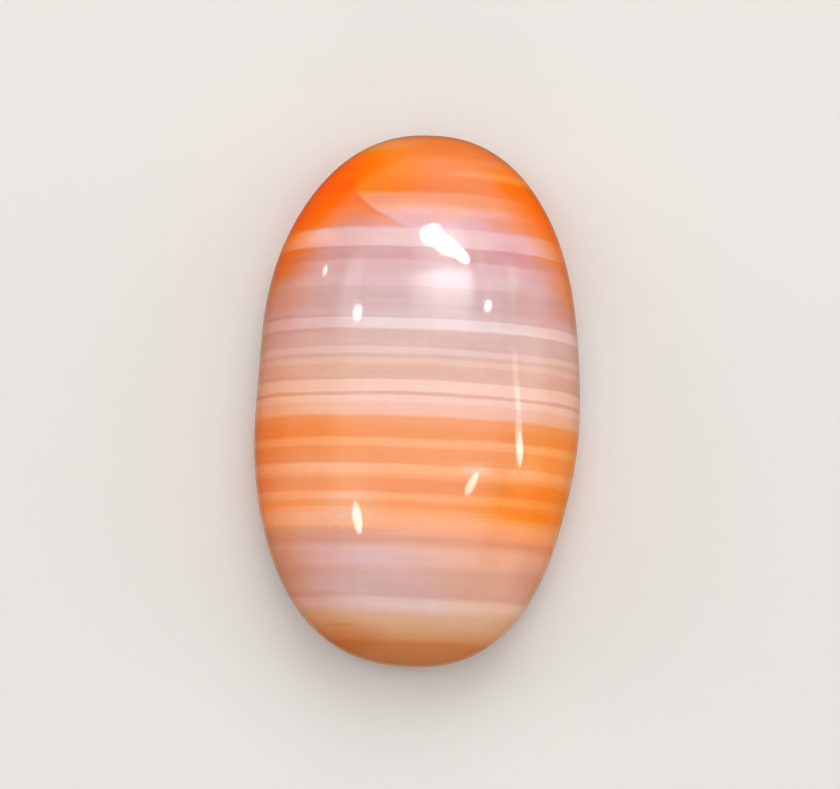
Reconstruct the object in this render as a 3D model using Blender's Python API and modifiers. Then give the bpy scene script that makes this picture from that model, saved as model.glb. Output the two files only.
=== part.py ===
"""An oval cabochon of banded agate: a solid stone with a high polished dome, a rounded girdle and a flat ground base.

The base lies on the floor at z = 0, the long axis runs along Y and the centre of the outline is over the origin.
Every length below is in metres.
"""

import math

import bpy

NAME = "cabochon"

# Driving sizes of the stone.
LENGTH = 0.02522
WIDTH = 0.01524
THICKNESS = 0.0075
GIRDLE_HEIGHT = 0.0013
FOOT_EDGE_HEIGHT = 0.00012

# The outline is a little squarer than a true oval: 2 would be an ellipse.
OUTLINE_POWER = 2.302
# What the cutter's hand left in the outline, as shares of its radius: waves in the turn, cosine, sine.
OUTLINE_WAVES = ((3, 0.0017, -0.0031), (5, 0.0048, 0.0002), (7, 0.0003, -0.0034))
# The dome's section: a share of the outline's radius against a share of the dome's height.
DOME_PLAN_POWER = 2.2
DOME_HEIGHT_POWER = 2.0
# The flat base reaches this share of the outline's radius, and the foot's small edge runs just inside it.
BASE_SHARE = 0.915
FOOT_EDGE_SHARE = 0.928

# How finely the curved faces are divided.
TURN_STEPS = 96
DOME_RINGS = 17
BELLY_RINGS = 4
MERGE_DISTANCE = 0.000001
SHARP_ANGLE = math.radians(30)

BASE_COLOUR = (0.83, 0.46, 0.30, 1.0)
ROUGHNESS = 0.12


def clear_scene():
    for thing in list(bpy.data.objects):
        bpy.data.objects.remove(thing)


def section_points():
    """The section from the top of the dome down the outer side to the base's centre: (share of radius, height)."""
    rise = THICKNESS - GIRDLE_HEIGHT
    points = [(0.0, THICKNESS)]
    for ring in range(1, DOME_RINGS + 1):
        lean = math.pi / 2 * ring / DOME_RINGS
        share = math.sin(lean) ** (2 / DOME_PLAN_POWER)
        points.append((share, GIRDLE_HEIGHT + rise * max(math.cos(lean), 0.0) ** (2 / DOME_HEIGHT_POWER)))
    for ring in range(1, BELLY_RINGS + 1):
        lean = math.pi / 2 * ring / BELLY_RINGS
        share = FOOT_EDGE_SHARE + (1 - FOOT_EDGE_SHARE) * math.cos(lean)
        points.append((share, GIRDLE_HEIGHT - (GIRDLE_HEIGHT - FOOT_EDGE_HEIGHT) * math.sin(lean)))
    points.append((BASE_SHARE, 0.0))
    points.append((0.0, 0.0))
    return points


def outline_radius(turn):
    """The outline's radius in the direction turn, counted from +X towards +Y."""
    across = abs(math.cos(turn)) / (WIDTH / 2)
    along = abs(math.sin(turn)) / (LENGTH / 2)
    radius = (across ** OUTLINE_POWER + along ** OUTLINE_POWER) ** (-1 / OUTLINE_POWER)
    waves = sum(c * math.cos(k * turn) + s * math.sin(k * turn) for k, c, s in OUTLINE_WAVES)
    return radius * (1 + waves)


def turned_stone():
    """The section turned about Z by a Screw modifier: a round stone with a radius of 1, still to be stretched."""
    points = section_points()
    mesh = bpy.data.meshes.new(NAME + "_section")
    edges = [(i, i + 1) for i in range(len(points) - 1)]
    mesh.from_pydata([(share, 0.0, height) for share, height in points], edges, [])
    section = bpy.data.objects.new(NAME + "_section", mesh)
    bpy.context.scene.collection.objects.link(section)
    screw = section.modifiers.new("turn", "SCREW")
    screw.axis = "Z"
    screw.angle = 2 * math.pi
    screw.steps = TURN_STEPS
    screw.render_steps = TURN_STEPS
    screw.use_merge_vertices = True
    screw.merge_threshold = MERGE_DISTANCE
    screw.use_normal_calculate = True
    bpy.context.view_layer.update()
    ready = section.evaluated_get(bpy.context.evaluated_depsgraph_get())
    turned = bpy.data.meshes.new_from_object(ready)
    bpy.data.objects.remove(section)
    return turned


def stretch_to_outline(mesh):
    """Each vertex moves out from the axis until a share of 1 lies on the outline."""
    for vertex in mesh.vertices:
        share = math.hypot(vertex.co.x, vertex.co.y)
        if share > MERGE_DISTANCE:
            turn = math.atan2(vertex.co.y * LENGTH, vertex.co.x * WIDTH)
            reach = share * outline_radius(turn)
            vertex.co.x = reach * math.cos(turn)
            vertex.co.y = reach * math.sin(turn)


def centre_on_origin(mesh):
    """The uneven outline is centred by its own box, and the base stays at z = 0."""
    for axis in (0, 1):
        values = [vertex.co[axis] for vertex in mesh.vertices]
        middle = (min(values) + max(values)) / 2
        for vertex in mesh.vertices:
            vertex.co[axis] -= middle


def stone_material():
    material = bpy.data.materials.new("polished_banded_agate")
    material.use_nodes = True
    shader = material.node_tree.nodes["Principled BSDF"]
    shader.inputs["Base Color"].default_value = BASE_COLOUR
    shader.inputs["Roughness"].default_value = ROUGHNESS
    shader.inputs["Metallic"].default_value = 0.0
    material.diffuse_color = BASE_COLOUR
    return material


def main():
    clear_scene()
    mesh = turned_stone()
    stretch_to_outline(mesh)
    centre_on_origin(mesh)
    mesh.name = NAME
    mesh.materials.append(stone_material())
    mesh.shade_smooth()
    mesh.set_sharp_from_angle(angle=SHARP_ANGLE)
    stone = bpy.data.objects.new(NAME, mesh)
    collection = bpy.data.collections.new("banded_agate_cabochon")
    bpy.context.scene.collection.children.link(collection)
    collection.objects.link(stone)


main()
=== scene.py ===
# %% [markdown]
# # A banded agate cabochon
# The real object is one piece of chalcedony, cut as an oval about 25 mm long, ground flat below and
# polished to a high dome. Everything that the eye enjoys in it is the stone itself: straight parallel
# beds of milky white, lilac, peach and orange that run through the whole piece, under a surface as smooth
# as glass. This lesson builds the shape with Geometry Nodes, because one rule gives every point of it,
# and paints the beds as a solid pattern in space, because that is how they lie in the stone: they come
# out right on every side.

import math
from functools import partial
from types import SimpleNamespace

import bpy
import numpy as np
from mathutils import Matrix, Vector
from mathutils.bvhtree import BVHTree


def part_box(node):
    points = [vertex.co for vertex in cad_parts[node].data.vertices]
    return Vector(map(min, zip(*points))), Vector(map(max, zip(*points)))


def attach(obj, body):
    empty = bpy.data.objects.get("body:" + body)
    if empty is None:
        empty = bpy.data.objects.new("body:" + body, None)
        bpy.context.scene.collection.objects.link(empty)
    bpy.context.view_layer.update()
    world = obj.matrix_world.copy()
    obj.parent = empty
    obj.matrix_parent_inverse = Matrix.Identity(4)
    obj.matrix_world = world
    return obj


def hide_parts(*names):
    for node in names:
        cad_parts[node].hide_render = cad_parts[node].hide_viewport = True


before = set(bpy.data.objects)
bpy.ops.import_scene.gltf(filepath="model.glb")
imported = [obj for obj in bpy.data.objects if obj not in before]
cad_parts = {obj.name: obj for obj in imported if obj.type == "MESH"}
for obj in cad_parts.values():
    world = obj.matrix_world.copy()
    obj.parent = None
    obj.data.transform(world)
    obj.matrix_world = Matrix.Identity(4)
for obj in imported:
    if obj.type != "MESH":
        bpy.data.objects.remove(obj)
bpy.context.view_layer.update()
MM = 0.001

# %% [markdown]
# ## Two small helpers
# A colour picked from a photograph or a chart is an sRGB value, but a shader counts light, so each hex
# value is turned to linear once, here. And both Geometry Nodes and materials are trees of nodes, so one
# function adds a node of any kind: its settings by name, its inputs in their order, and whatever is
# linked comes in as a socket. Most of the nodes do sums, so for those the operation's name is enough.

# %% Helpers
VECTOR = "ShaderNodeVectorMath"
MIX = "ShaderNodeMix"
NOISE = "ShaderNodeTexNoise"
STEP = "ShaderNodeMapRange"
SPLIT = "ShaderNodeSeparateXYZ"
# A step goes from nothing to one between two values. It is a soft one, unless a call asks for a straight
# ramp.
USUAL = {STEP: {"interpolation_type": "SMOOTHSTEP"}}


def linear(code):
    """A colour given as an sRGB hex value, turned to the linear values that shaders use."""
    parts = [int(code[i:i + 2], 16) / 255 for i in (0, 2, 4)]
    return [part / 12.92 if part <= 0.04045 else ((part + 0.055) / 1.055) ** 2.4 for part in parts] + [1.0]


def add(tree, kind, *values, take=0, **settings):
    """Adds a node, sets or links its inputs in order (None leaves one alone) and returns the output to take.

    The kind is a node's type, or in capitals the operation of a math node.
    """
    if kind.isupper():
        kind, settings = "ShaderNodeMath", {"operation": kind, **settings}
    node = tree.nodes.new(kind)
    for name, value in {**USUAL.get(kind, {}), **settings}.items():
        setattr(node, name, value)
    inputs = [socket for socket in node.inputs if socket.enabled]
    for socket, value in zip(inputs, values):
        if isinstance(value, bpy.types.NodeSocket):
            tree.links.new(value, socket)
        elif value is not None:
            socket.default_value = value
    outputs = [socket for socket in node.outputs if socket.enabled]
    return node.outputs[take] if isinstance(take, str) else outputs[take]


print("orange as light:", [round(part, 3) for part in linear("F08030")])

# %% [markdown]
# ## The camera
# The stone is photographed from almost straight above, so close that the dome bulges towards the lens a
# little. The camera stands 150 mm over the stone, leaning 7 degrees back from the vertical, and turned a
# little so that the stone leans to the right in the picture as the real one does. The long lens follows
# from how many pixels a millimetre takes there.

# %% Camera
PICTURE_WIDTH = 840
PICTURE_HEIGHT = 789
SENSOR_WIDTH = 36.0
CAMERA_DISTANCE = 150 * MM
CAMERA_ELEVATION = math.radians(83)
CAMERA_TURN = math.radians(2.791)
FOCAL_PIXELS = 3213.4
AIM_HEIGHT = 3.0 * MM
AIM_PIXEL = (418.25, 394.84)
CLIP_END = 10.0

towards_camera = Vector((
    math.sin(CAMERA_TURN) * math.cos(CAMERA_ELEVATION),
    -math.cos(CAMERA_TURN) * math.cos(CAMERA_ELEVATION),
    math.sin(CAMERA_ELEVATION),
))
camera_turn = (-towards_camera).to_track_quat("-Z", "Y")
camera_right = camera_turn @ Vector((1, 0, 0))
camera_up = camera_turn @ Vector((0, 1, 0))
pixel_at_aim = CAMERA_DISTANCE / FOCAL_PIXELS
aim = Vector((0, 0, AIM_HEIGHT))
aim += camera_right * (PICTURE_WIDTH / 2 - AIM_PIXEL[0]) * pixel_at_aim
aim -= camera_up * (PICTURE_HEIGHT / 2 - AIM_PIXEL[1]) * pixel_at_aim

lens = bpy.data.cameras.new("camera")
lens.sensor_width = SENSOR_WIDTH
lens.lens = FOCAL_PIXELS / PICTURE_WIDTH * SENSOR_WIDTH
lens.clip_start = 1 * MM
lens.clip_end = CLIP_END
camera = bpy.data.objects.new("camera", lens)
camera.location = aim + towards_camera * CAMERA_DISTANCE
camera.rotation_mode = "QUATERNION"
camera.rotation_quaternion = camera_turn
bpy.context.scene.collection.objects.link(camera)
bpy.context.scene.camera = camera
print("lens in mm:", round(lens.lens, 1), "one pixel in mm:", round(pixel_at_aim / MM, 4))

# %% [markdown]
# ## The shape of the stone
# A cutter grinds such a stone by hand on a wheel: a flat base, a narrow belly that leans out to the
# girdle, then the dome. The outline is an oval a little squarer than an ellipse, with faint waves where
# the hand pressed harder. It could be sculpted, or a sphere could be scaled and cut. But every point
# follows one rule, so a sphere of rings and segments is bent by Geometry Nodes: the angle down from the
# top gives the point's place on the section, and the angle round the axis gives the outline's radius
# there. The sizes are the tree's inputs, so another stone is a matter of other numbers.

# %% Sizes of the stone
WIDTH = 15.24 * MM
LENGTH = 25.22 * MM
THICKNESS = 7.5 * MM
GIRDLE_HEIGHT = 1.3 * MM
FOOT_EDGE_HEIGHT = 0.12 * MM
# A power of 2 is an ellipse, a higher one a squarer oval.
OUTLINE_POWER = 2.302
DOME_PLAN_POWER = 2.2
# The radius at the foot's edge and at the base, as shares of the radius at the girdle.
FOOT_EDGE_SHARE = 0.928
BASE_SHARE = 0.915
# How often each wave goes round the outline, then its cosine and its sine as shares of the radius.
OUTLINE_WAVES = ((3, 0.0017, -0.0031), (5, 0.0048, 0.0002), (7, 0.0003, -0.0034))
SEGMENTS = 352
RINGS = 264
# Where the dome, the belly and the foot's edge end, as shares of the way from the top pole to the bottom
# pole.
DOME_END = 0.68
BELLY_END = 0.86
FOOT_END = 0.885
# The polish is never quite even: broad flats and hollows of a hundredth of a millimetre, a few
# millimetres across.
POLISH_WAVE_HEIGHT = 0.022 * MM
POLISH_WAVE_LENGTH = 5.0 * MM
POLISH_WAVE_DETAIL = 1.0
POLISH_WAVE_ROUGHNESS = 0.4

low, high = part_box("cabochon")
print("the solid's box in mm:", [round(side / MM, 2) for side in high - low])

# %% The section of the stone


def section(node, given, down):
    """From the way down: a point's share of the outline's radius, its height, and how far into the belly."""
    dome, belly, foot, base = [
        node(STEP, down, float(start), float(end), interpolation_type="LINEAR")
        for start, end in ((0, DOME_END), (DOME_END, BELLY_END), (BELLY_END, FOOT_END), (FOOT_END, 1))
    ]
    dome_turn = node("MULTIPLY", dome, math.pi / 2)
    belly_turn = node("MULTIPLY", belly, math.pi / 2)

    dome_share = node("POWER", node("SINE", dome_turn), node("DIVIDE", 2.0, given["Dome Power"]))
    belly_lean = node("SUBTRACT", 1.0, given["Foot Edge Share"])
    belly_step = node("MULTIPLY", belly_lean, node("SUBTRACT", 1.0, node("COSINE", belly_turn)))
    foot_step = node("MULTIPLY", foot, node("SUBTRACT", given["Foot Edge Share"], given["Base Share"]))
    below_share = node("SUBTRACT", node("SUBTRACT", 1.0, belly_step), foot_step)
    below_share = node("SUBTRACT", below_share, node("MULTIPLY", base, given["Base Share"]))
    share = node("MULTIPLY", dome_share, below_share)

    rise = node("SUBTRACT", given["Thickness"], given["Girdle Height"])
    drop = node("SUBTRACT", given["Girdle Height"], given["Foot Edge Height"])
    height = node("MULTIPLY_ADD", rise, node("COSINE", dome_turn), given["Girdle Height"])
    height = node("SUBTRACT", height, node("MULTIPLY", drop, node("SINE", belly_turn)))
    height = node("SUBTRACT", height, node("MULTIPLY", foot, given["Foot Edge Height"]))
    return share, height, belly


# %% The outline of the stone


def outline(node, given, x, y):
    """The outline's radius in a point's direction, with the waves of hand cutting, and that direction."""
    turn = node("ARCTAN2", node("MULTIPLY", y, given["Length"]), node("MULTIPLY", x, given["Width"]))
    cosine, sine = node("COSINE", turn), node("SINE", turn)
    across = node("DIVIDE", node("ABSOLUTE", cosine), node("MULTIPLY", given["Width"], 0.5))
    along = node("DIVIDE", node("ABSOLUTE", sine), node("MULTIPLY", given["Length"], 0.5))
    power = given["Outline Power"]
    total = node("ADD", node("POWER", across, power), node("POWER", along, power))
    radius = node("POWER", total, node("DIVIDE", -1.0, power))
    waves = 1.0
    for count, cosine_part, sine_part in OUTLINE_WAVES:
        angle = node("MULTIPLY", turn, float(count))
        waves = node("MULTIPLY_ADD", node("COSINE", angle), cosine_part, waves)
        waves = node("MULTIPLY_ADD", node("SINE", angle), sine_part, waves)
    return node("MULTIPLY", radius, waves), cosine, sine


# %% The tree that bends a sphere into the stone


def centred(node, stone):
    """The uneven outline, centred over the origin by its own box."""
    box_low, box_high = [node("GeometryNodeBoundBox", stone, take=name) for name in ("Min", "Max")]
    both = node(VECTOR, box_low, box_high, operation="ADD")
    to_origin = node(VECTOR, both, (-0.5, -0.5, 0.0), operation="MULTIPLY")
    return node("GeometryNodeSetPosition", stone, None, None, to_origin)


def polish_waves(node, given, stone, belly):
    """Faint flats and hollows of the polish, which bend the reflections. The base stays flat."""
    scale = node("DIVIDE", 1.0, given["Polish Wave Length"])
    swell = node(NOISE, None, scale, POLISH_WAVE_DETAIL, POLISH_WAVE_ROUGHNESS)
    swell = node("MULTIPLY", node("SUBTRACT", swell, 0.5), given["Polish Wave Height"])
    swell = node("MULTIPLY", swell, node("SUBTRACT", 1.0, belly))
    push = node(VECTOR, node("GeometryNodeInputNormal"), swell, operation="SCALE")
    return node("GeometryNodeSetPosition", stone, None, None, push)


def cabochon_tree(material):
    """The whole tree, and what its inputs are set to."""
    tree = bpy.data.node_groups.new("cut_cabochon", "GeometryNodeTree")
    tree.interface.new_socket("Geometry", in_out="OUTPUT", socket_type="NodeSocketGeometry")
    sizes = {
        "Width": WIDTH, "Length": LENGTH, "Thickness": THICKNESS, "Girdle Height": GIRDLE_HEIGHT,
        "Foot Edge Height": FOOT_EDGE_HEIGHT, "Outline Power": OUTLINE_POWER, "Dome Power": DOME_PLAN_POWER,
        "Foot Edge Share": FOOT_EDGE_SHARE, "Base Share": BASE_SHARE,
        "Polish Wave Height": POLISH_WAVE_HEIGHT, "Polish Wave Length": POLISH_WAVE_LENGTH,
    }
    for name in sizes:
        tree.interface.new_socket(name, in_out="INPUT", socket_type="NodeSocketFloat")
    given = tree.nodes.new("NodeGroupInput").outputs
    node = partial(add, tree)

    stone = node("GeometryNodeMeshUVSphere", SEGMENTS, RINGS, 1.0)
    place = node("GeometryNodeInputPosition")
    x, y, z = [node(SPLIT, place, take=name) for name in "XYZ"]
    down = node("DIVIDE", node("ARCCOSINE", z), math.pi)
    share, height, belly = section(node, given, down)
    radius, cosine, sine = outline(node, given, x, y)
    reach = node("MULTIPLY", radius, share)
    across, along = node("MULTIPLY", reach, cosine), node("MULTIPLY", reach, sine)
    bent = node("ShaderNodeCombineXYZ", across, along, height)
    stone = node("GeometryNodeSetPosition", stone, None, bent)
    stone = centred(node, stone)
    stone = polish_waves(node, given, stone, belly)

    stone = node("GeometryNodeRealizeInstances", stone)
    stone = node("GeometryNodeSetMaterial", stone, None, material)
    tree.links.new(stone, tree.nodes.new("NodeGroupOutput").inputs["Geometry"])
    print("nodes in the tree:", len(tree.nodes))
    return tree, sizes


# %% From the tree to a mesh


def plain_mesh(name, tree, sizes, material):
    """Runs the tree on an empty mesh and keeps what comes out as a plain mesh with one material."""
    holder = bpy.data.objects.new(name + "_holder", bpy.data.meshes.new(name + "_holder"))
    bpy.context.scene.collection.objects.link(holder)
    modifier = holder.modifiers.new("shape", "NODES")
    modifier.node_group = tree
    for item in tree.interface.items_tree:
        if item.in_out == "INPUT":
            modifier[item.identifier] = sizes[item.name]
    ready = holder.evaluated_get(bpy.context.evaluated_depsgraph_get())
    mesh = bpy.data.meshes.new_from_object(ready)
    bpy.data.objects.remove(holder)
    mesh.name = name
    mesh.materials.clear()
    mesh.materials.append(material)
    mesh.polygons.foreach_set("material_index", [0] * len(mesh.polygons))
    piece = bpy.data.objects.new(name, mesh)
    bpy.context.scene.collection.objects.link(piece)
    print(name, "points:", len(mesh.vertices))
    return piece


# %% [markdown]
# ## What the stone is made of
# Agate is chalcedony, quartz in fibres too fine to see. It settled in a hollow of the rock bed after bed,
# and where the beds lay level, as here, they stay straight and parallel. Two things change from one bed
# to the next: how milky it is, because water and tiny pores scatter the light, and how much iron has
# soaked in. Rust red iron takes the green and blue out of the light, its yellow kind only the blue. So
# the pattern isn't painted colour by colour: each bed gets its milk and its iron, and one formula turns
# them into a colour, as the real stone does. Every rule below reads the same few things, such as the
# place in the stone, so they travel together in one bundle, called at.

# %% Tools for patterns in the stone


def wander(at, stretch, amount, detail=2.0):
    """Noise between minus and plus about half the amount; stretch is its size per axis, in mm."""
    scaled = at.node(VECTOR, at.point, [1 / size for size in stretch], operation="MULTIPLY")
    noise = at.node(NOISE, scaled, 1.0, detail)
    return at.node("MULTIPLY", at.node("SUBTRACT", noise, 0.5), amount)


def between(at, value, rise, fall):
    """One where the value is past the first pair and short of the second; it rises and falls within them."""
    start, end = fall
    return at.node("MULTIPLY", at.node(STEP, value, *rise), at.node(STEP, value, end, start))


def more(at, recipe, share, extra):
    """The recipe with more of its milk, rust and amber, as far as the share says."""
    return at.node(VECTOR, share, extra, recipe, operation="MULTIPLY_ADD")


# %% [markdown]
# ## The beds
# The beds could be one long colour ramp. A ladder of mixes, one step for each bed, keeps every bed a line
# of a table that can be read and changed, and each edge can be sharp or soft.

# %% The table of beds
# From the top end down: the height of the bed's upper edge on the stone's long axis and how soft that
# edge is, both in mm, then the bed's milk, its rust and its amber, as shares. Rust and amber below zero
# take back some of the colour that the other brings: very fine rust is pinker than coarse rust, and the
# palest beds are cool lilac.
TOP_BED = (0.80, 1.00, 0.00)
BEDS = (
    (11.75, 0.30, 0.89, 1.09, -0.04), (10.90, 0.50, 0.95, 0.95, -0.14), (9.75, 0.40, 0.83, 0.96, -0.18),
    (8.95, 0.26, 0.83, 0.68, -0.15), (8.25, 0.50, 0.80, 0.42, -0.15), (7.85, 0.25, 0.62, 0.33, -0.14),
    (7.45, 0.40, 0.51, 0.19, -0.11), (7.15, 0.16, 0.62, 0.12, -0.01), (6.28, 0.12, 0.31, 0.20, -0.08),
    (5.60, 0.22, 0.43, 0.11, -0.03), (4.90, 0.40, 0.44, 0.05, 0.01), (4.36, 0.22, 0.33, 0.03, 0.04),
    (3.30, 0.50, 0.38, -0.01, 0.08), (2.98, 0.08, 0.37, -0.03, 0.09), (2.88, 0.10, 0.65, -0.08, 0.15),
    (2.38, 0.12, 0.43, 0.05, 0.08), (1.50, 0.12, 0.65, 0.05, 0.09), (1.20, 0.14, 0.50, 0.09, 0.08),
    (0.98, 0.14, 0.65, 0.10, 0.09), (0.70, 0.12, 0.54, 0.17, 0.05), (0.00, 0.12, 0.83, 0.10, 0.10),
    (-0.54, 0.08, 0.59, 0.25, 0.00), (-0.72, 0.10, 0.85, 0.12, 0.08), (-1.05, 0.15, 0.81, 0.23, 0.01),
    (-1.35, 0.20, 0.87, 0.28, 0.01), (-1.65, 0.22, 0.88, 0.64, 0.00), (-2.10, 0.40, 0.88, 0.78, 0.01),
    (-2.62, 0.18, 1.04, 0.56, 0.03), (-3.03, 0.15, 0.90, 0.70, 0.03), (-3.36, 0.20, 0.88, 0.70, 0.04),
    (-3.62, 0.12, 0.83, 0.68, 0.03), (-3.80, 0.14, 1.04, 0.51, 0.05), (-4.25, 0.20, 0.98, 0.62, 0.03),
    (-4.45, 0.20, 0.91, 0.77, 0.02), (-4.75, 0.15, 0.94, 0.79, 0.00), (-5.10, 0.14, 1.07, 0.61, 0.04),
    (-5.48, 0.12, 1.04, 0.78, 0.05), (-5.80, 0.16, 1.17, 0.70, 0.02), (-6.05, 0.20, 1.06, 0.53, 0.02),
    (-6.65, 0.20, 0.92, 0.49, -0.05), (-7.00, 0.25, 0.58, 0.39, -0.08), (-7.45, 0.50, 0.69, 0.15, -0.02),
    (-8.45, 0.50, 0.60, 0.16, 0.00), (-8.95, 0.20, 0.61, 0.13, 0.01), (-9.80, 0.26, 0.89, 0.06, 0.08),
    (-10.38, 0.45, 0.75, 0.18, 0.13), (-10.75, 0.50, 0.76, 0.26, 0.13), (-11.25, 0.60, 0.72, 0.43, 0.12),
    (-11.70, 0.40, 0.57, 0.68, 0.04),
)
# The beds stand almost upright in the stone: how much a millimetre to the right, along and up shifts
# them.
BED_TILT = (-0.010, 1.0, 0.018)
BED_ZERO = -0.244
# Real beds waver: the length of the waves across, along and up, and then how far they shift a bed, all in
# mm.
WAVERS = (((5.0, 1.6, 5.0), 0.20), ((1.2, 0.5, 1.5), 0.065))
# The beds whose edge is uneven on the left: they start and end softly, and so does the left.
UNEVEN_BEDS = ((-7.1, -6.7), (-6.45, -6.0))
UNEVEN_LEFT = (0.5, -1.5)
UNEVEN_WAVER = ((0.7, 0.25, 0.7), 0.10, 4.0)
# The dense milky bed takes in only a share of the iron that soaks its neighbours.
DENSE_BED = ((6.22, 6.34), (7.10, 7.25))
DENSE_BED_BOTTOM = 6.28
DENSE_BED_INTAKE = 0.5
print("beds:", len(BEDS), "thinnest in mm:", round(min(a[0] - b[0] for a, b in zip(BEDS, BEDS[1:])), 2))

# %% The place across the beds, and the ladder


def find_bed(at):
    """Works out the place across the beds in mm, where their edge is uneven, and where the dense bed is."""
    straight = at.node(VECTOR, at.point, BED_TILT, operation="DOT_PRODUCT", take="Value")
    at.bed = at.node("ADD", straight, BED_ZERO)
    for stretch, shift in WAVERS:
        at.bed = at.node("ADD", at.bed, wander(at, stretch, shift))
    at.uneven = at.node("MULTIPLY", at.node(STEP, at.x, *UNEVEN_LEFT), between(at, at.bed, *UNEVEN_BEDS))
    at.bed = at.node("ADD", at.bed, at.node("MULTIPLY", at.uneven, wander(at, *UNEVEN_WAVER)))
    at.dense = between(at, at.bed, *DENSE_BED)


def ladder_of_beds(at):
    """From the top bed down, each bed's recipe takes over below its upper edge."""
    recipe = TOP_BED
    for edge, softness, *content in BEDS:
        below = at.node(STEP, at.bed, edge + softness / 2, edge - softness / 2)
        recipe = at.node(MIX, below, recipe, content, data_type="VECTOR")
    return recipe


# %% [markdown]
# ## Where the iron came in, and painted light at the rims
# The beds alone would be too even. Iron soaked in from the rims, and here and there it made a cloud of
# its own, such as the lens of amber in the orange beds near the right rim. These are a slow rise towards
# each rim and a number of soft ovals, which run straight down through the stone, and each adds a little
# to the recipe. The rise towards the rims is only partly iron: the rest is painted light, warmer and
# fuller colour that stands in for the glow and the light that the steep rims get. One small pale oval
# right of the middle is a painted reflection.

# %% Rims and patches in the beds
# How far out a rim lies in mm, to the left or right, then the milk, rust and amber added towards it.
# Part of it is iron, part is painted light for the glow and the light that the steep rims get.
RIMS = ((-7.6, 0.17, 0.47, -0.15), (7.6, 0.21, 0.17, -0.08))
RIM_POWER = 3.0
# Middle across and along in mm, half width and half height in mm, softness as a share, then milk, rust
# and amber.
PATCHES = (
    (-7.50, 6.05, 2.50, 1.25, 0.45, 0.23, 0.53, -0.22), (-7.40, 4.50, 2.20, 1.60, 0.50, 0.10, 0.23, -0.13),
    (-7.40, 1.50, 2.40, 2.00, 0.60, -0.01, -0.03, -0.04), (6.50, 6.00, 1.70, 1.00, 0.60, 0.02, -0.05, 0.14),
    (6.60, 6.90, 3.60, 1.60, 0.50, 0.18, 0.34, -0.30), (7.40, 4.30, 1.50, 1.20, 0.50, -0.03, 0.22, -0.13),
    # The first oval on the next line, small and pale at 3.9 mm right and 5.1 mm up, is a painted reflection
    # of something bright over the stone.
    (3.90, 5.10, 0.90, 0.60, 0.40, 0.05, -0.03, 0.05), (-5.80, 2.65, 2.40, 0.40, 0.50, -0.11, 0.09, -0.08),
    (-5.00, 0.45, 2.40, 0.30, 0.50, 0.07, -0.01, 0.02), (4.90, 0.80, 0.90, 2.20, 0.60, 0.10, -0.02, 0.02),
    (-5.60, -1.90, 2.60, 1.20, 0.60, 0.05, 0.00, 0.04), (-1.20, 9.60, 1.70, 0.50, 0.60, 0.14, 0.10, -0.02),
    (3.60, 10.05, 2.40, 0.18, 0.60, 0.18, -0.11, -0.05), (7.30, -4.60, 2.60, 2.60, 0.50, 0.26, 0.05, 0.04),
    (-2.90, -5.75, 1.40, 0.60, 0.60, -0.14, -0.15, 0.03), (6.20, -4.75, 3.20, 0.40, 0.35, -0.14, 0.04, 0.07),
    (5.60, -5.35, 2.80, 1.00, 0.50, 0.12, 0.15, 0.16), (4.90, -6.00, 2.10, 0.32, 0.30, 0.09, 0.08, 0.00),
    (5.30, -5.85, 1.00, 0.24, 0.60, 0.06, 0.02, 0.32), (6.00, -8.60, 5.00, 1.90, 0.50, 0.09, 0.17, 0.00),
    (3.60, -7.50, 4.20, 0.75, 0.50, 0.15, 0.06, 0.01), (-6.00, -9.00, 2.30, 1.60, 0.60, -0.07, 0.12, -0.05),
    (-4.60, -5.20, 2.80, 1.70, 0.50, 0.05, -0.14, -0.02),
    (-5.00, -10.10, 2.60, 0.50, 0.50, -0.12, 0.11, -0.07),
    (-4.50, -11.60, 3.00, 0.90, 0.50, -0.12, 0.22, -0.04),
    (-3.05, -11.05, 0.50, 0.05, 0.90, -0.09, 0.11, -0.01),
    (6.00, 3.80, 1.80, 1.30, 0.50, 0.09, 0.13, -0.07), (6.30, -2.60, 1.60, 1.40, 0.50, -0.06, 0.00, 0.11),
    (-6.60, -8.80, 1.60, 1.80, 0.50, -0.06, 0.06, 0.03), (6.40, -8.40, 1.30, 1.20, 0.50, -0.07, 0.06, -0.03),
    (-5.80, 6.75, 1.50, 0.40, 0.50, 0.26, 0.10, -0.05), (4.20, 10.30, 1.40, 0.45, 0.60, 0.10, 0.14, 0.39),
    (7.00, -5.60, 0.90, 0.90, 0.50, 0.45, -0.04, 0.00), (-1.00, 9.18, 1.80, 0.26, 0.60, 0.00, 0.06, -0.05),
    (6.70, 5.80, 0.90, 0.60, 0.50, -0.16, -0.16, -0.24), (-6.60, 5.40, 0.90, 0.90, 0.50, -0.28, -0.15, 0.07),
    (2.80, -3.90, 0.60, 0.30, 0.60, -0.12, -0.28, 0.08), (3.00, -5.90, 1.40, 0.25, 0.60, -0.19, -0.08, 0.11),
    (3.60, -3.70, 3.20, 0.14, 0.60, 0.07, -0.04, 0.03), (-1.90, 8.00, 0.90, 0.30, 0.60, -0.02, 0.04, 0.00),
    (4.20, -4.75, 1.40, 0.42, 0.60, 0.06, -0.06, -0.02), (-2.00, 11.60, 1.30, 0.45, 0.80, 0.00, -0.30, 0.16),
    (-4.60, -6.83, 3.40, 0.20, 0.40, -0.24, -0.04, 0.03), (3.75, 7.55, 0.90, 0.40, 0.60, 0.00, 0.10, 0.10),
    (5.00, -2.90, 0.80, 1.50, 0.60, 0.02, -0.06, 0.00),
)
print("patches:", len(PATCHES))


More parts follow.
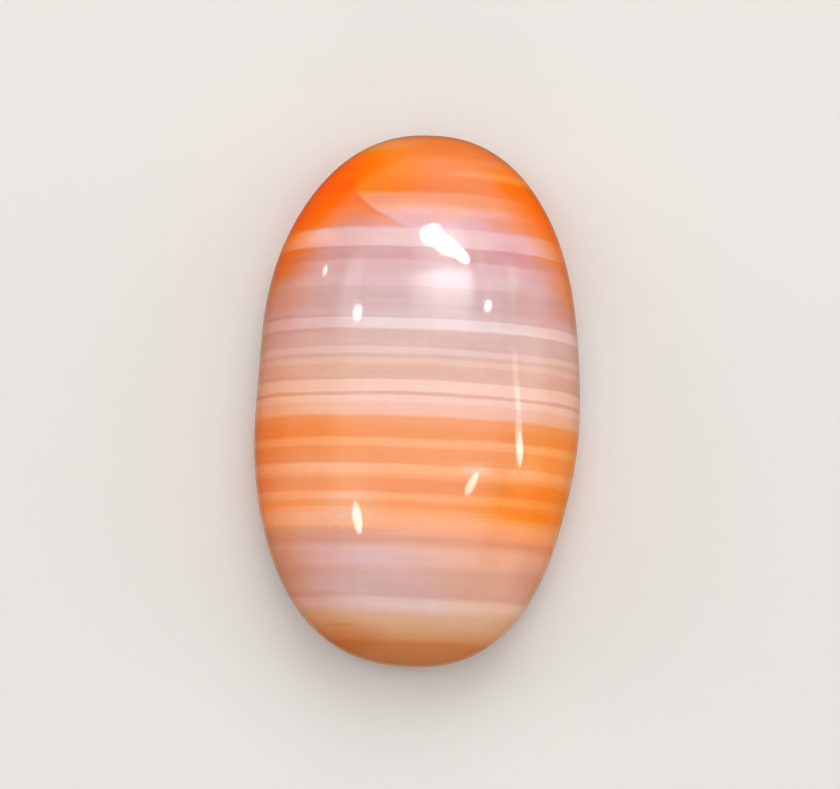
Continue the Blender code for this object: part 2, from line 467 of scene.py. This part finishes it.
def rims_and_patches(at, recipe):
    """More colour towards the rims, more of it on the left, part iron and part painted light, and the soft
    ovals.
    """
    for reach, *extra in RIMS:
        rim = at.node("POWER", at.node("MAXIMUM", at.node("DIVIDE", at.x, reach), 0.0), RIM_POWER)
        recipe = more(at, recipe, rim, extra)
    porous = at.node("MULTIPLY_ADD", at.dense, DENSE_BED_INTAKE - 1, 1.0)
    flat = at.node("ShaderNodeCombineXYZ", at.x, at.bed, 0.0)
    for across, along, width, height, softness, *extra in PATCHES:
        away = at.node(VECTOR, flat, (across, along, 0.0), operation="SUBTRACT")
        away = at.node(VECTOR, away, (1 / width, 1 / height, 0.0), operation="MULTIPLY")
        away = at.node(VECTOR, away, operation="LENGTH", take="Value")
        patch = at.node(STEP, away, 1 + softness, 1 - softness)
        if along - height < DENSE_BED_BOTTOM < along + height:
            patch = at.node("MULTIPLY", patch, porous)
        recipe = more(at, recipe, patch, extra)
    return recipe


# %% [markdown]
# ## The fold
# At the upper end the beds are bent into a fold. Its tip points to the left, and below the tip its edge
# runs off to the right, faster and faster. Left of that edge the stone is rustier. The fold could be a
# bend in the beds themselves, but only its edge shows, so a curve is enough: a parabola in the heights
# below the tip. How far a point lies past it decides what it is made of.

# %% Fold
# The tip, across and in the beds, then how fast the edge runs to the right and how that grows, per mm.
FOLD_TIP = (-3.34, 8.85)
FOLD_SLOPE = 0.71
FOLD_BEND = 0.49
FOLD_WAVER = ((1.2, 0.9, 2.0), 0.2)
FOLD_SOFTNESS = 0.22
FOLD_BEDS = ((7.1, 7.35), (8.8, 9.0))
UNDER_FOLD = (0.06, 0.53, -0.05)
# A thin dark seam follows the edge: its place past the edge, its beds and what it has more of.
SEAM = ((-0.30, -0.05), (-0.02, 0.16))
SEAM_BEDS = ((7.4, 7.9), (8.7, 8.9))
IN_SEAM = (-0.11, 0.05, 0.0)
# Towards its foot the stone left of the fold loses its rust again.
FOLD_FOOT = (8.1, 7.4)
IN_FOLD_FOOT = (0.0, -0.16, -0.06)


def fold(at, recipe):
    """The fold at the upper end, with the rustier stone left of it, its seam and its foot."""
    across, top = FOLD_TIP
    below_tip = at.node("MAXIMUM", at.node("SUBTRACT", top, at.bed), 0.0)
    edge = at.node("MULTIPLY_ADD", at.node("MULTIPLY", below_tip, below_tip), FOLD_BEND, across)
    edge = at.node("MULTIPLY_ADD", below_tip, FOLD_SLOPE, edge)
    past_edge = at.node("ADD", at.node("SUBTRACT", at.x, edge), wander(at, *FOLD_WAVER))
    left = at.node(STEP, past_edge, FOLD_SOFTNESS, -FOLD_SOFTNESS)
    left = at.node("MULTIPLY", left, between(at, at.bed, *FOLD_BEDS))
    recipe = more(at, recipe, left, UNDER_FOLD)
    seam = at.node("MULTIPLY", between(at, past_edge, *SEAM), between(at, at.bed, *SEAM_BEDS))
    recipe = more(at, recipe, seam, IN_SEAM)
    foot = at.node("MULTIPLY", left, at.node(STEP, at.bed, *FOLD_FOOT))
    return more(at, recipe, foot, IN_FOLD_FOOT)


print("the fold's edge one mm below its tip lies at:", round(FOLD_TIP[0] + FOLD_SLOPE + FOLD_BEND, 2), "mm")

# %% [markdown]
# ## The vermilion fronts
# Most iron came in from both rims at the upper end, and there it reached vermilion. It spread with long
# soft fronts that slant down to the rims and finger along the beds, because some beds let more of it pass
# than others. Each front is a line in the plane of the beds, pushed about by noise, and past it the
# recipe turns to vermilion.

# %% Fronts
# The recipe where vermilion soaked in.
SOAKED_LEFT = (1.37, 1.73, 0.19)
SOAKED_RIGHT = (1.25, 1.51, 0.10)
# The fronts drift in broad waves, and fingers run along the beds.
FRONT_DRIFT = ((2.0, 1.2, 3.0), 0.4)
FRONT_FINGERS = ((5.0, 0.25, 5.0), 0.7, 3.0)
# How much a millimetre up in the beds moves a front inwards, and how far out it is at height zero, as a
# minus.
LEFT_SLOPE, LEFT_PLACE = 0.85, -11.35
RIGHT_SLOPE, RIGHT_PLACE = 0.76, -10.78
LEFT_SOFTNESS = 1.5
RIGHT_SOFTNESS = 1.6
# The dense bed holds the fronts back, in mm.
LEFT_HELD_BACK = 0.8
RIGHT_HELD_BACK = 0.5
# Above the fold the left front is a curve instead, and sharper just over the tip.
ABOVE_FOLD = (8.85, 9.0)
CURVE_FOOT = (-3.4, 9.1)
CURVE_POWER = 1.6
CURVE_GAIN = 0.43
SHARP_BEDS = (9.9, 9.3)
SHARPER_BY = 4.0
# The beds at the top stay freer of vermilion, and so does the left rim.
LEFT_TOP = (11.4, 10.3)
RIGHT_TOP = (9.85, 9.5)
LEFT_RIM = (-6.2, -7.2)
LEFT_RIM_LOSS = 0.4


def left_front(at):
    """How far a point lies past the left front: below the fold's tip a slant, above it a curve."""
    above_fold = at.node(STEP, at.bed, *ABOVE_FOLD)
    across, foot = CURVE_FOOT
    curve = at.node("POWER", at.node("MAXIMUM", at.node("SUBTRACT", at.bed, foot), 0.0), CURVE_POWER)
    curve = at.node("MULTIPLY_ADD", curve, CURVE_GAIN, across)
    slant = at.node("MULTIPLY_ADD", at.bed, LEFT_SLOPE, LEFT_PLACE)
    front = at.node(MIX, above_fold, slant, curve, data_type="FLOAT")
    front = at.node("ADD", front, at.node("SUBTRACT", at.drift, at.x))
    front = at.node("MULTIPLY_ADD", at.dense, -LEFT_HELD_BACK, front)
    near_tip = at.node("MULTIPLY", above_fold, at.node(STEP, at.bed, *SHARP_BEDS))
    return at.node("MULTIPLY", front, at.node("MULTIPLY_ADD", near_tip, SHARPER_BY, 1.0))


def fronts(at, recipe):
    """Vermilion from both rims."""
    at.drift = at.node("ADD", wander(at, *FRONT_DRIFT), wander(at, *FRONT_FINGERS))
    left = at.node(STEP, left_front(at), -LEFT_SOFTNESS, LEFT_SOFTNESS)
    left = at.node("MULTIPLY", left, at.node(STEP, at.bed, *LEFT_TOP))
    kept = at.node("MULTIPLY_ADD", at.node(STEP, at.x, *LEFT_RIM), -LEFT_RIM_LOSS, 1.0)
    left = at.node("MULTIPLY", left, kept)
    slant = at.node("MULTIPLY_ADD", at.bed, RIGHT_SLOPE, RIGHT_PLACE)
    right = at.node("ADD", slant, at.node("ADD", at.drift, at.x))
    right = at.node("MULTIPLY_ADD", at.dense, -RIGHT_HELD_BACK, right)
    right = at.node(STEP, right, -RIGHT_SOFTNESS, RIGHT_SOFTNESS)
    right = at.node("MULTIPLY", right, at.node(STEP, at.bed, *RIGHT_TOP))
    for soaked, goal in ((left, SOAKED_LEFT), (right, SOAKED_RIGHT)):
        recipe = at.node(MIX, soaked, recipe, goal, data_type="VECTOR")
    return recipe


print("vermilion takes milk, rust and amber to", SOAKED_LEFT, "on the left and", SOAKED_RIGHT, "on the right")

# %% [markdown]
# ## The amber
# Past a sharper slanting edge inside each front the iron is the yellow kind too, and most of it is in the
# fold's tip, which glows like honey. Amber is only added to the recipe, so the beds still show through
# it.

# %% Amber
AMBER_LEFT = 0.90
AMBER_RIGHT = 0.84
# The left edge slants down to the left, but not above a level: its slope, its height at the middle, the
# level.
LEFT_EDGE_SLOPE, LEFT_EDGE_HEIGHT, LEFT_EDGE_LEVEL = 0.85, 11.9, 8.9
LEFT_EDGE_DRIFT = 0.2
LEFT_EDGE = (-0.14, 0.16)
LEFT_AMBER_BEDS = ((7.1, 7.6), (10.9, 11.5))
# It fades in from the middle of the stone and loses a little again near the rim.
LEFT_AMBER_FROM = (0.4, -3.0)
LEFT_AMBER_LOSS_FROM = (-3.5, -5.0)
LEFT_AMBER_LOSS = 0.2
RIGHT_EDGE_SLOPE, RIGHT_EDGE_HEIGHT = -0.55, 11.13
RIGHT_EDGE_DRIFT = 0.3
RIGHT_EDGE = (-0.1, 0.4)
RIGHT_AMBER_FROM = (2.9, 3.7)
RIGHT_AMBER_TOP = (10.1, 9.6)
# The tip: its left side leans in above a bed, and its right side, which is feathered, leans out up to a
# limit.
IN_TIP = (0.06, 0.00, 0.62)
TIP_LEFT, TIP_LEFT_FROM, TIP_LEFT_LEAN = -3.47, 9.7, 0.5
TIP_RIGHT, TIP_RIGHT_LIMIT = -12.13, -2.28
TIP_LEFT_SOFTNESS = 0.06
TIP_RIGHT_SOFTNESS = 0.15
TIP_FEATHER = ((2.0, 0.25, 2.0), 0.4)


def amber_on_the_left(at):
    """Where the amber edge on the left is passed, and how much amber there is."""
    edge = at.node("MULTIPLY_ADD", at.x, LEFT_EDGE_SLOPE, LEFT_EDGE_HEIGHT)
    above = at.node("SUBTRACT", at.bed, at.node("MINIMUM", edge, LEFT_EDGE_LEVEL))
    above = at.node("ADD", above, at.node("MULTIPLY", at.drift, LEFT_EDGE_DRIFT))
    past = at.node("MULTIPLY", at.node(STEP, above, *LEFT_EDGE), between(at, at.bed, *LEFT_AMBER_BEDS))
    amber = at.node("MULTIPLY", at.node(STEP, at.x, *LEFT_AMBER_FROM), AMBER_LEFT)
    amber = at.node("MULTIPLY_ADD", at.node(STEP, at.x, *LEFT_AMBER_LOSS_FROM), -LEFT_AMBER_LOSS, amber)
    return past, at.node("MULTIPLY", amber, past)


def amber_on_the_right(at):
    """How much of the amber on the right there is."""
    edge = at.node("MULTIPLY_ADD", at.x, RIGHT_EDGE_SLOPE, RIGHT_EDGE_HEIGHT)
    above = at.node("ADD", at.node("SUBTRACT", at.bed, edge), at.node("MULTIPLY", at.drift, RIGHT_EDGE_DRIFT))
    past = at.node("MULTIPLY", at.node(STEP, above, *RIGHT_EDGE), at.node(STEP, at.x, *RIGHT_AMBER_FROM))
    return at.node("MULTIPLY", past, at.node(STEP, at.bed, *RIGHT_AMBER_TOP))


def in_the_tip(at, past_edge):
    """Where the fold's tip is, above the amber edge."""
    lean = at.node("MAXIMUM", at.node("SUBTRACT", at.bed, TIP_LEFT_FROM), 0.0)
    left = at.node("SUBTRACT", at.x, at.node("MULTIPLY_ADD", lean, TIP_LEFT_LEAN, TIP_LEFT))
    inside = at.node("MULTIPLY", at.node(STEP, left, -TIP_LEFT_SOFTNESS, TIP_LEFT_SOFTNESS), past_edge)
    limit = at.node("MINIMUM", at.node("ADD", at.bed, TIP_RIGHT), TIP_RIGHT_LIMIT)
    right = at.node("SUBTRACT", at.node("ADD", at.x, wander(at, *TIP_FEATHER)), limit)
    return at.node("MULTIPLY", inside, at.node(STEP, right, TIP_RIGHT_SOFTNESS, -TIP_RIGHT_SOFTNESS))


def amber(at, recipe):
    """The amber past both edges, and the honey in the fold's tip."""
    past_left, left = amber_on_the_left(at)
    recipe = more(at, recipe, in_the_tip(at, past_left), IN_TIP)
    both = at.node("MULTIPLY_ADD", amber_on_the_right(at), AMBER_RIGHT, left)
    return at.node(VECTOR, recipe, at.node("ShaderNodeCombineXYZ", 0.0, 0.0, both), operation="ADD")


print("most amber on the left and on the right:", AMBER_LEFT, AMBER_RIGHT)

# %% [markdown]
# ## The fine texture
# Nothing in a stone is quite even. Slow clouds of milk lie along the beds. Inside each bed are laminae,
# which are really a few hundredths of a millimetre apart: they are drawn 0.16 mm apart here, as coarse as
# they need to be to show. The fibres of chalcedony stand across the beds and are finer still, under a
# hundredth of a millimetre: they are drawn as faint streaks 0.4 mm apart. Along the uneven edge of the
# lower beds there are pale specks.

# %% Texture
# The size across, along and up in mm, the amount, the detail, then what it adds to milk, rust and amber.
TEXTURES = {
    "clouds": ((2.6, 1.1, 2.6), 0.14, 2.0, (1.0, -0.20, 0.0)),
    "laminae": ((9.0, 0.16, 9.0), 0.11, 3.0, (1.0, -0.35, 0.0)),
    "fibres": ((0.4, 1.5, 0.6), 0.07, 2.0, (1.0, -0.30, 0.0)),
}
SPECK_SIZE = 0.2
SPECK_DETAIL = 2.0
# The noise values between which a speck rises out of the ground.
SPECK_RISE = (0.46, 0.66)
IN_SPECK = (0.05, -0.03, 0.0)


def texture(at, recipe):
    """Specks along the uneven edge, then clouds, laminae and fibres."""
    scaled = at.node(VECTOR, at.point, 1 / SPECK_SIZE, operation="SCALE")
    specks = at.node(STEP, at.node(NOISE, scaled, 1.0, SPECK_DETAIL), *SPECK_RISE)
    recipe = more(at, recipe, at.node("MULTIPLY", specks, at.uneven), IN_SPECK)
    for stretch, amount, detail, extra in TEXTURES.values():
        recipe = more(at, recipe, wander(at, stretch, amount, detail), extra)
    return recipe


print("textures:", ", ".join(TEXTURES))

# %% [markdown]
# ## From the recipe to the colour
# Milk moves the colour from the dim haze of clear chalcedony to milky white. Rust and amber are filters:
# twice as much of one takes away the same share of the light twice, so its colour is raised to the power
# of its amount. Polished chalcedony is a hard quartz with an index of refraction of 1.54, and a fine
# polish leaves almost no roughness, which gives the eye small, hard, bright reflections. Light also goes
# a little way into the milk and comes out again beside where it went in, red furthest, which makes the
# stone glow and softens every shadow. The base was only ground flat, so it is matt, and the broken
# surface makes it paler.

# %% Colours and finish
HAZE = "AB888A"
MILK = "EDD2E9"
RUST = "FA9E46"
AMBER = "FFF758"
MOST_MILK = 1.3
POLISH_ROUGHNESS = 0.055
# Faint smudges on the polish, 2.5 mm across.
SMUDGES = ((2.5, 2.5, 2.5), 0.03)
GROUND_ROUGHNESS = 0.5
GROUND_WHITENESS = 0.2
# The heights in mm between which the ground base passes into the polish.
GROUND_BELOW = (0.08, 0.01)
AGATE_IOR = 1.54
GLOW = 0.5
GLOW_RADIUS = (1.0, 0.5, 0.3)
GLOW_DEPTH = 0.4 * MM
print("haze and milk as light:", [[round(part, 2) for part in linear(code)[:3]] for code in (HAZE, MILK)])


def stone_colour(at, recipe):
    """The recipe as a colour: haze to milk, then the light that the iron leaves over."""
    milk, rust, yellow = [at.node(SPLIT, recipe, take=name) for name in "XYZ"]
    milk = at.node("MINIMUM", milk, MOST_MILK)
    colour = at.node(MIX, milk, linear(HAZE), linear(MILK), data_type="RGBA", clamp_factor=False)
    for amount, code in ((rust, RUST), (yellow, AMBER)):
        left_over = [at.node("POWER", part, amount) for part in linear(code)[:3]]
        left_over = at.node("ShaderNodeCombineColor", *left_over)
        colour = at.node(MIX, 1.0, colour, left_over, data_type="RGBA", blend_type="MULTIPLY")
    return colour


# %% The material


def agate_material(name):
    """Polished chalcedony: straight beds of milk and iron in space, under a glassy surface."""
    material = bpy.data.materials.new(name)
    material.use_nodes = True
    tree = material.node_tree
    at = SimpleNamespace(node=partial(add, tree))
    place = at.node("ShaderNodeTexCoord", take="Object")
    at.point = at.node(VECTOR, place, 1 / MM, operation="SCALE")
    at.x, z = [at.node(SPLIT, at.point, take=name) for name in "XZ"]

    find_bed(at)
    recipe = ladder_of_beds(at)
    for step in (rims_and_patches, fold, fronts, amber, texture):
        recipe = step(at, recipe)

    ground = at.node(STEP, z, *GROUND_BELOW)
    paler = at.node("MULTIPLY", ground, GROUND_WHITENESS)
    colour = at.node(MIX, paler, stone_colour(at, recipe), linear(MILK), data_type="RGBA")
    polish = at.node("ADD", wander(at, *SMUDGES), POLISH_ROUGHNESS)
    roughness = at.node(MIX, ground, polish, GROUND_ROUGHNESS, data_type="FLOAT")

    shader = tree.nodes["Principled BSDF"]
    tree.links.new(colour, shader.inputs["Base Color"])
    tree.links.new(roughness, shader.inputs["Roughness"])
    shader.inputs["IOR"].default_value = AGATE_IOR
    shader.inputs["Subsurface Weight"].default_value = GLOW
    shader.inputs["Subsurface Radius"].default_value = GLOW_RADIUS
    shader.inputs["Subsurface Scale"].default_value = GLOW_DEPTH
    print(name, "nodes:", len(tree.nodes))
    return material


agate = agate_material("polished_banded_chalcedony")

# %% [markdown]
# ## Making the stone
# The tree runs once and what comes out is kept as a plain mesh, so the stone opens anywhere with no tree
# behind it. It is shaded smooth, as a polished dome is, but the foot's edge stays crisp, as the wheel
# leaves it.

# %% Making the stone
# Edges sharper than this stay crisp: only the foot's edge is.
CRISP_EDGE = math.radians(30)

tree, sizes = cabochon_tree(agate)
stone = plain_mesh("agate_cabochon", tree, sizes, agate)
stone.data.shade_smooth()
stone.data.set_sharp_from_angle(angle=CRISP_EDGE)
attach(stone, "root")
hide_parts("cabochon")
stone.data.calc_loop_triangles()
corners = np.array([vertex.co for vertex in stone.data.vertices])
print("triangles:", len(stone.data.loop_triangles), "box in mm:", np.round(np.ptp(corners, axis=0) / MM, 2))

# %% [markdown]
# ## The floor
# A plain pale floor, so that the stone's own colours are what is seen. It is matt, so that no lamp shows
# in it.

# %% Floor
FLOOR_SIDE = 3.0
FLOOR_COLOUR = "CFCCC8"
FLOOR_ROUGHNESS = 0.8
floor_material = bpy.data.materials.new("matt_pale_paint")
floor_material.use_nodes = True
floor_shader = floor_material.node_tree.nodes["Principled BSDF"]
floor_shader.inputs["Base Color"].default_value = linear(FLOOR_COLOUR)
floor_shader.inputs["Roughness"].default_value = FLOOR_ROUGHNESS
floor_mesh = bpy.data.meshes.new("floor")
half = FLOOR_SIDE / 2
floor_corners = [(-half, -half, 0), (half, -half, 0), (half, half, 0), (-half, half, 0)]
floor_mesh.from_pydata(floor_corners, [], [(0, 1, 2, 3)])
floor_mesh.materials.append(floor_material)
floor = bpy.data.objects.new("floor", floor_mesh)
bpy.context.scene.collection.objects.link(floor)
floor.visible_glossy = False

# %% [markdown]
# ## The light
# A polished dome is a curved mirror, so each lamp shows in it as a small bright shape. The shapes in the
# photograph say where its lamps are: a ray goes from the camera to a pixel on the dome, is mirrored
# there, and the lamp stands somewhere along it. The main light on the stone is wide and soft, as from a
# ceiling.

# %% The mirror
LAMP_DISTANCE = 400 * MM
dome_surface = BVHTree.FromObject(stone, bpy.context.evaluated_depsgraph_get())


def mirrored(pixel):
    """Where a camera ray through a pixel meets the stone, and the direction that the polish sends it in."""
    across = (pixel[0] - PICTURE_WIDTH / 2) / FOCAL_PIXELS
    up = (PICTURE_HEIGHT / 2 - pixel[1]) / FOCAL_PIXELS
    ray = (camera_right * across + camera_up * up - towards_camera).normalized()
    point, normal, _, _ = dome_surface.ray_cast(camera.location, ray)
    return point, ray.reflect(normal)


def mirrored_side(pixel, way, reach):
    """The side that a lamp needs, to reach that far in the dome; the way is right and up in the picture."""
    ends = [
        mirrored((pixel[0] + way.x * step * reach, pixel[1] - way.y * step * reach))[1]
        for step in (-0.5, 0.5)
    ]
    return (ends[1] - ends[0]) * LAMP_DISTANCE


# %% One lamp that shows in the dome


def soften(data, left, right, low, high):
    """Lets an area lamp fade in from each of its edges, over the given shares of its width and height."""
    data.use_nodes = True
    tree = data.node_tree
    spot = add(tree, "ShaderNodeNewGeometry", take="Parametric")
    across, along = [add(tree, SPLIT, spot, take=name) for name in "XY"]
    glow = 1.0
    for value, start, end in (
        (across, 0.0, left), (across, 1.0, 1.0 - right), (along, 0.0, low), (along, 1.0, 1.0 - high),
    ):
        if start != end:
            glow = add(tree, "MULTIPLY", add(tree, STEP, value, start, end), glow)
    tree.links.new(glow, tree.nodes["Emission"].inputs["Strength"])


def lamp(name, pixel, size, brightness, lean=0.0, fades=None, box=False):
    """A lamp that shows in the dome at a pixel, as wide and high there as size says: an oval, or a box.

    It leans by some degrees. The fades are, for a box, its left, right, lower and upper edge, and for an oval
    its lower end, its upper end and its two sides.
    """
    point, direction = mirrored(pixel)
    across = Vector((math.cos(math.radians(lean)), math.sin(math.radians(lean))))
    up = Vector((-across.y, across.x))
    sides = [mirrored_side(pixel, way, reach) for way, reach in ((across, size[0]), (up, size[1]))]
    sides = [side - side.project(direction) for side in sides]
    data = bpy.data.lights.new(name, "AREA")
    # The dome stretches and shears the picture of a lamp. A box keeps the direction of its upright sides.
    second = sides[1].normalized()
    first = second.cross(direction)
    if box:
        data.shape = "RECTANGLE"
        data.size, data.size_y = abs(sides[0].dot(first)), sides[1].length
        area = data.size * data.size_y
    else:
        # An oval's own axes are found from both sides. The first is the long one, turned up in the picture.
        data.shape = "ELLIPSE"
        spread_of = np.array([[side.dot(axis) for side in sides] for axis in (first, second)])
        turn, lengths, _ = np.linalg.svd(spread_of)
        first = first * float(turn[0, 0]) + second * float(turn[1, 0])
        first *= math.copysign(1.0, first.dot(sides[1]))
        data.size, data.size_y = float(lengths[0]), float(lengths[1])
        area = data.size * data.size_y * math.pi / 4
    data.energy = brightness * math.pi * area
    turned = Matrix((first, direction.cross(first), direction)).transposed().to_4x4()
    thing = bpy.data.objects.new(name, data)
    thing.matrix_world = Matrix.Translation(point + direction * LAMP_DISTANCE) @ turned
    thing.visible_diffuse = False
    bpy.context.scene.collection.objects.link(thing)
    if fades:
        soften(data, *fades)
    print(name, "size in mm:", round(data.size / MM), "by", round(data.size_y / MM))


# %% All the lamps that show in the dome
# The pixel and the size are in pixels of the picture. The brightest shape is a window lamp, a chain of
# three ovals that get slimmer. The long strip lamp shows as a straight streak, which the dome would bend
# if it were one lamp, so it is a chain too, of short ones that fade into each other. The far windows are
# only faint streaks.
LAMPS = {
    "window_lamp": dict(pixel=(434.5, 235), size=(23, 23), brightness=30.0, lean=-15),
    "window_lamp_middle": dict(pixel=(447, 245), size=(28, 18), brightness=30.0, lean=-36),
    "window_lamp_tail": dict(pixel=(460.5, 254.5), size=(25, 10), brightness=30.0, lean=-43),
    "window_glow": dict(
        pixel=(446, 244), size=(66, 76), brightness=5.0, lean=-36, fades=(0.5, 0.5, 0.5, 0.5),
    ),
    "window_reflector": dict(
        pixel=(448, 299), size=(80, 86), brightness=9.2, fades=(0.45, 0.28, 1.0, 0.2), box=True,
    ),
    "small_lamp_upper_left": dict(pixel=(325.5, 270.3), size=(4.5, 10), brightness=11.0, lean=-12),
    "small_lamp_left": dict(pixel=(357.2, 313), size=(8, 19), brightness=12.0, lean=-9),
    "small_lamp_right": dict(pixel=(488, 305.5), size=(8, 11), brightness=14.0, lean=10),
    "strip_lamp_0": dict(
        pixel=(519.2, 447), size=(7.0, 36), brightness=12.0, lean=2, fades=(0.0, 0.4, 0.0, 0.0),
    ),
    "strip_lamp_1": dict(
        pixel=(518.7, 427), size=(6.5, 40), brightness=5.0, lean=2, fades=(0.5, 0.5, 0.0, 0.0),
    ),
    "strip_lamp_2": dict(
        pixel=(518.0, 404), size=(5.0, 44), brightness=3.0, lean=2, fades=(0.5, 0.5, 0.0, 0.0),
    ),
    "small_lamp_low_right": dict(pixel=(471.3, 484), size=(8, 26), brightness=11.0, lean=-28),
    "small_lamp_low_left": dict(pixel=(356.8, 517.5), size=(9.5, 33), brightness=11.0, lean=8),
    "far_window_streak": dict(
        pixel=(516.5, 392), size=(6, 96), brightness=2.0, lean=4, fades=(0.4, 0.4, 0.0, 0.0),
    ),
    "far_window_left": dict(
        pixel=(350.5, 287), size=(21, 100), brightness=1.3, lean=-11, fades=(0.15, 0.15, 0.4, 0.3), box=True,
    ),
    "far_window_middle": dict(
        pixel=(481, 264), size=(9, 36), brightness=0.9, lean=4, fades=(0.3, 0.3, 0.3, 0.3), box=True,
    ),
    "far_window_right": dict(
        pixel=(511.5, 282), size=(13, 70), brightness=1.3, lean=4, fades=(0.3, 0.3, 0.5, 0.3), box=True,
    ),
}
for name, settings in LAMPS.items():
    lamp(name, **settings)

# %% [markdown]
# ## The soft light
# The small lamps only show in the polish. What lights the stone is a wide ceiling light, whose reflection
# lies over the whole dome as a faint veil, and four soft lamps round it, which the polish doesn't show.

# %% The ceiling light
CEILING_HEIGHT = 0.9
CEILING_BRIGHTNESS = 1.14
# Where its edges are, in degrees from straight above the stone: left, right, front and back.
CEILING_EDGES = (-56, 60, -58, 66)
CEILING_FADES = (0.32, 0.32, 0.34, 0.2)


def ceiling_light(name, brightness, edges, fades):
    """A flat light over the stone that also shows in its polish as a faint milky veil."""
    left, right, front, back = [math.tan(math.radians(edge)) * CEILING_HEIGHT for edge in edges]
    data = bpy.data.lights.new(name, "AREA")
    data.shape = "RECTANGLE"
    data.size = right - left
    data.size_y = back - front
    data.energy = brightness * math.pi * data.size * data.size_y
    thing = bpy.data.objects.new(name, data)
    thing.location = ((left + right) / 2, (front + back) / 2, CEILING_HEIGHT)
    bpy.context.scene.collection.objects.link(thing)
    soften(data, *fades)
    return thing


ceiling = ceiling_light("ceiling_light", CEILING_BRIGHTNESS, CEILING_EDGES, CEILING_FADES)
print("ceiling light in m:", round(ceiling.data.size, 2), "by", round(ceiling.data.size_y, 2))

# %% Soft lamps round the stone
SOFTBOX_SIZE = 0.5
SOFTBOX_DISTANCE = 0.7
# The direction each one shines from, then its brightness.
SOFTBOXES = {
    "back_light": ((0.1, 1.0, 0.85), 2.8),
    "left_light": ((-1.0, 0.35, 0.45), 2.5),
    "right_light": ((1.0, 0.2, 0.4), 2.0),
    "front_light": ((0.0, -1.0, 0.45), 1.4),
}


def softbox(name, direction, brightness):
    """A round soft lamp that lights the stone but doesn't show in its polish."""
    data = bpy.data.lights.new(name, "AREA")
    data.shape = "DISK"
    data.size = SOFTBOX_SIZE
    data.energy = brightness * math.pi * math.pi * SOFTBOX_SIZE ** 2 / 4
    thing = bpy.data.objects.new(name, data)
    direction = Vector(direction).normalized()
    thing.location = direction * SOFTBOX_DISTANCE
    thing.rotation_mode = "QUATERNION"
    thing.rotation_quaternion = direction.to_track_quat("Z", "Y")
    thing.visible_glossy = False
    bpy.context.scene.collection.objects.link(thing)
    return thing


for name, (direction, brightness) in SOFTBOXES.items():
    print(name, "in W:", round(softbox(name, direction, brightness).data.energy, 2))

# %% The room
# Pale walls round the horizon, darker above and below, which draws a thin bright line along the stone's
# rim. The stops go from straight below, at nothing, to straight above, at one.
WALL_STOPS = (
    (0.01, "A89888"), (0.08, "4A3F38"), (0.44, "4A3F38"),
    (0.52, "95918D"), (0.62, "8A8784"), (0.75, "5A5856"),
)
world = bpy.data.worlds.new("pale_room")
bpy.context.scene.world = world
world.use_nodes = True
background = world.node_tree.nodes["Background"]
direction = add(world.node_tree, "ShaderNodeTexCoord", take="Generated")
upward = add(world.node_tree, SPLIT, direction, take="Z")
walls = world.node_tree.nodes.new("ShaderNodeValToRGB")
stops = walls.color_ramp.elements
for number, (position, code) in enumerate(WALL_STOPS):
    stop = stops[number] if number < len(stops) else stops.new(position)
    stop.position = position
    stop.color = linear(code)
height_share = add(world.node_tree, STEP, upward, -1.0, 1.0, interpolation_type="LINEAR")
world.node_tree.links.new(height_share, walls.inputs["Fac"])
world.node_tree.links.new(walls.outputs["Color"], background.inputs["Color"])
background.inputs["Strength"].default_value = 1.0
bpy.context.scene.view_settings.view_transform = "Standard"
print("stops of the room's light:", len(stops))
